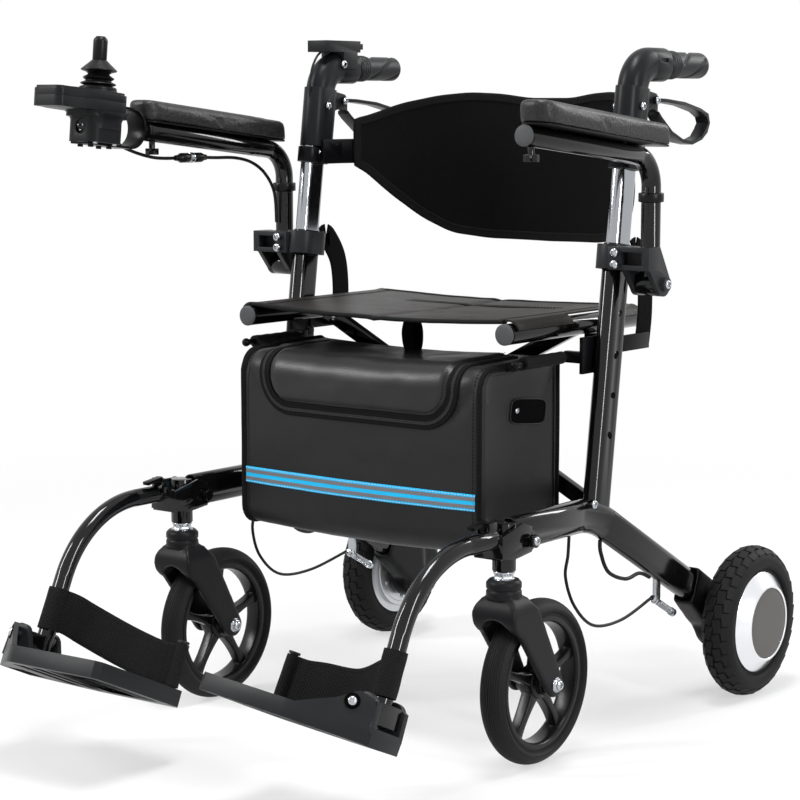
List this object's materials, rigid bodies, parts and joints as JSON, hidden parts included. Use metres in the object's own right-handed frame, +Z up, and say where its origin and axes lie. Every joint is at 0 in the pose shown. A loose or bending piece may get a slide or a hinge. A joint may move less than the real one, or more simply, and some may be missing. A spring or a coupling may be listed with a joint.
{
  "type": "rollator transport chair",
  "caption": "Folding walker chair with sling seat, curved backrest strap, flip-back arm rests, joystick control, under-seat bag, spoked casters, powered rear wheels and swing-away foot rests.",
  "frame": {"origin": "on the floor, at the middle of the footprint", "axes": "+X to the seated person's left, +Y to the back, +Z up"},
  "size_m": [0.664, 0.9518, 0.868],
  "materials": {
    "gloss_black_frame": "gloss powder coat",
    "satin_black_steel": "satin",
    "charcoal_plastic": "fine grain",
    "black_plastic": "satin",
    "controller_plastic": "fine grain",
    "chrome_tube": "satin bright",
    "hub_aluminium": "turned",
    "tyre_rubber": "matt",
    "soft_rubber": "matt",
    "webbing": "woven",
    "back_fabric": "woven",
    "seat_fabric": "woven",
    "bag_sheet": "coated cloth",
    "pad_skin": "grained",
    "cable_sleeve": "satin",
    "plated_steel": "bright"
  },
  "bodies": {
    "left_frame": {"left_side_frame": "gloss_black_frame", "left_rear_bracket": "satin_black_steel", "left_arm_clamp": "charcoal_plastic", "left_bag_rod": "satin_black_steel", "left_side_strap": "webbing", "left_cables": "cable_sleeve", "left_brake_gear": "plated_steel", "bag": "bag_sheet"},
    "brace_a": {"brace_a": "gloss_black_frame", "seat_sling": "seat_fabric"},
    "brace_b": {"brace_b": "gloss_black_frame"},
    "right_frame": {"right_side_frame": "gloss_black_frame", "right_rear_bracket": "satin_black_steel", "right_arm_clamp": "charcoal_plastic", "right_bag_rod": "satin_black_steel", "right_side_strap": "webbing", "right_cables": "cable_sleeve", "right_brake_gear": "plated_steel"},
    "left_handle": {"left_handle_tube": "chrome_tube", "left_head_cover": "charcoal_plastic", "left_grip": "soft_rubber", "left_back_bracket": "satin_black_steel", "backrest": "back_fabric"},
    "right_handle": {"right_handle_tube": "chrome_tube", "right_head_cover": "charcoal_plastic", "right_grip": "soft_rubber", "right_back_bracket": "satin_black_steel", "attendant_box": "controller_plastic"},
    "left_brake_lever": {"left_brake_lever": "charcoal_plastic"},
    "right_brake_lever": {"right_brake_lever": "charcoal_plastic"},
    "attendant_lever": {"attendant_lever": "controller_plastic"},
    "left_arm": {"left_arm_tube": "gloss_black_frame", "left_arm_pad": "pad_skin"},
    "right_arm": {"right_arm_tube": "gloss_black_frame", "right_arm_pad": "pad_skin", "joystick_bracket": "satin_black_steel", "joystick_lower": "controller_plastic", "joystick_upper": "controller_plastic", "joystick_boot": "soft_rubber", "joystick_cable": "cable_sleeve"},
    "joystick_ring": {"joystick_gimbal": "controller_plastic"},
    "joystick_stick": {"joystick_stick": "soft_rubber"},
    "left_caster": {"left_fork": "black_plastic"},
    "left_front_wheel": {"left_front_rim": "black_plastic", "left_front_tyre": "tyre_rubber"},
    "left_rear_wheel": {"left_rear_hub": "hub_aluminium", "left_rear_tyre": "tyre_rubber"},
    "left_foot_hanger": {"left_hanger": "gloss_black_frame", "left_heel_strap": "webbing"},
    "left_latch": {"left_latch": "satin_black_steel"},
    "left_footplate": {"left_footplate": "charcoal_plastic"},
    "right_caster": {"right_fork": "black_plastic"},
    "right_front_wheel": {"right_front_rim": "black_plastic", "right_front_tyre": "tyre_rubber"},
    "right_rear_wheel": {"right_rear_hub": "hub_aluminium", "right_rear_tyre": "tyre_rubber"},
    "right_foot_hanger": {"right_hanger": "gloss_black_frame", "right_heel_strap": "webbing"},
    "right_latch": {"right_latch": "satin_black_steel"},
    "right_footplate": {"right_footplate": "charcoal_plastic"}
  },
  "joints": [
    {"name": "fold", "type": "hinge", "parent": "left_frame", "child": "brace_a", "pos_m": [0.224, 0.098, 0.29], "axis": [0, 1, 0], "range_deg": [0, 25], "deforming": ["seat_sling", "backrest", "bag"]},
    {"name": "fold_cross", "type": "hinge", "parent": "brace_a", "child": "brace_b", "pos_m": [0, 0.104, 0.40621], "axis": [0, 1, 0], "range_deg": [-50, 0]},
    {"name": "fold_right", "type": "hinge", "parent": "brace_b", "child": "right_frame", "pos_m": [-0.224, 0.11, 0.29], "axis": [0, 1, 0], "range_deg": [0, 25]},
    {"name": "left_handle_height", "type": "slide", "parent": "left_frame", "child": "left_handle", "axis": [0, 0.1323, 0.9912], "range_m": [-0.06, 0.1]},
    {"name": "left_brake_squeeze", "type": "hinge", "parent": "left_handle", "child": "left_brake_lever", "pos_m": [0.248, 0.187, 0.787], "axis": [1, 0, 0], "range_deg": [-10, 12], "stiffness_Nm_per_rad": 6},
    {"name": "left_arm_flip", "type": "hinge", "parent": "left_frame", "child": "left_arm", "pos_m": [0.292, 0.125, 0.565], "axis": [-1, 0, 0], "range_deg": [0, 90]},
    {"name": "left_caster_swivel", "type": "hinge", "parent": "left_frame", "child": "left_caster", "pos_m": [0.254, -0.129, 0.2], "axis": [0, 0, 1], "continuous": true},
    {"name": "left_front_roll", "type": "hinge", "parent": "left_caster", "child": "left_front_wheel", "pos_m": [0.254, -0.063, 0.1], "axis": [1, 0, 0], "continuous": true},
    {"name": "left_rear_roll", "type": "hinge", "parent": "left_frame", "child": "left_rear_wheel", "pos_m": [0.301, 0.376, 0.1], "axis": [1, 0, 0], "continuous": true},
    {"name": "left_foot_swing", "type": "hinge", "parent": "left_frame", "child": "left_foot_hanger", "pos_m": [0.254, -0.107, 0.28], "axis": [-1, 0, 0], "range_deg": [0, 75]},
    {"name": "left_latch_lift", "type": "hinge", "parent": "left_foot_hanger", "child": "left_latch", "pos_m": [0.254, -0.169, 0.304], "axis": [-1, 0, 0], "range_deg": [0, 20], "stiffness_Nm_per_rad": 0.05},
    {"name": "left_plate_flip", "type": "hinge", "parent": "left_foot_hanger", "child": "left_footplate", "pos_m": [0.266, -0.37138, 0.13004], "axis": [0, 0.9063, -0.4226], "range_deg": [0, 60], "deforming": ["left_heel_strap"]},
    {"name": "right_handle_height", "type": "slide", "parent": "right_frame", "child": "right_handle", "axis": [0, 0.1323, 0.9912], "range_m": [-0.06, 0.1]},
    {"name": "right_brake_squeeze", "type": "hinge", "parent": "right_handle", "child": "right_brake_lever", "pos_m": [-0.248, 0.187, 0.787], "axis": [1, 0, 0], "range_deg": [-10, 12], "stiffness_Nm_per_rad": 6},
    {"name": "right_arm_flip", "type": "hinge", "parent": "right_frame", "child": "right_arm", "pos_m": [-0.292, 0.125, 0.565], "axis": [-1, 0, 0], "range_deg": [0, 90]},
    {"name": "right_caster_swivel", "type": "hinge", "parent": "right_frame", "child": "right_caster", "pos_m": [-0.254, -0.129, 0.2], "axis": [0, 0, 1], "continuous": true},
    {"name": "right_front_roll", "type": "hinge", "parent": "right_caster", "child": "right_front_wheel", "pos_m": [-0.254, -0.063, 0.1], "axis": [1, 0, 0], "continuous": true},
    {"name": "right_rear_roll", "type": "hinge", "parent": "right_frame", "child": "right_rear_wheel", "pos_m": [-0.301, 0.376, 0.1], "axis": [1, 0, 0], "continuous": true},
    {"name": "right_foot_swing", "type": "hinge", "parent": "right_frame", "child": "right_foot_hanger", "pos_m": [-0.254, -0.107, 0.28], "axis": [-1, 0, 0], "range_deg": [0, 75]},
    {"name": "right_latch_lift", "type": "hinge", "parent": "right_foot_hanger", "child": "right_latch", "pos_m": [-0.254, -0.169, 0.304], "axis": [-1, 0, 0], "range_deg": [0, 20], "stiffness_Nm_per_rad": 0.05},
    {"name": "right_plate_flip", "type": "hinge", "parent": "right_foot_hanger", "child": "right_footplate", "pos_m": [-0.266, -0.37138, 0.13004], "axis": [0, -0.9063, 0.4226], "range_deg": [0, 60], "deforming": ["right_heel_strap"]},
    {"name": "joystick_pitch", "type": "hinge", "parent": "right_arm", "child": "joystick_ring", "pos_m": [-0.298, -0.22636, 0.78407], "axis": [1, 0, 0], "range_deg": [-14, 14], "stiffness_Nm_per_rad": 0.3, "deforming": ["joystick_boot"]},
    {"name": "joystick_roll", "type": "hinge", "parent": "joystick_ring", "child": "joystick_stick", "pos_m": [-0.298, -0.22636, 0.78407], "axis": [0, 0.9945, -0.1045], "range_deg": [-14, 14], "stiffness_Nm_per_rad": 0.3, "deforming": ["joystick_boot"]},
    {"name": "attendant_thumb", "type": "hinge", "parent": "right_handle", "child": "attendant_lever", "pos_m": [-0.248, 0.211, 0.86], "axis": [0, 0, 1], "range_deg": [-15, 15], "stiffness_Nm_per_rad": 0.05}
  ],
  "couplings": [
    {"joint": "fold_cross", "follows": "fold", "ratio": -2},
    {"joint": "fold_right", "follows": "fold", "ratio": 1},
    {"joint": "right_handle_height", "follows": "left_handle_height", "ratio": 1}
  ]
}
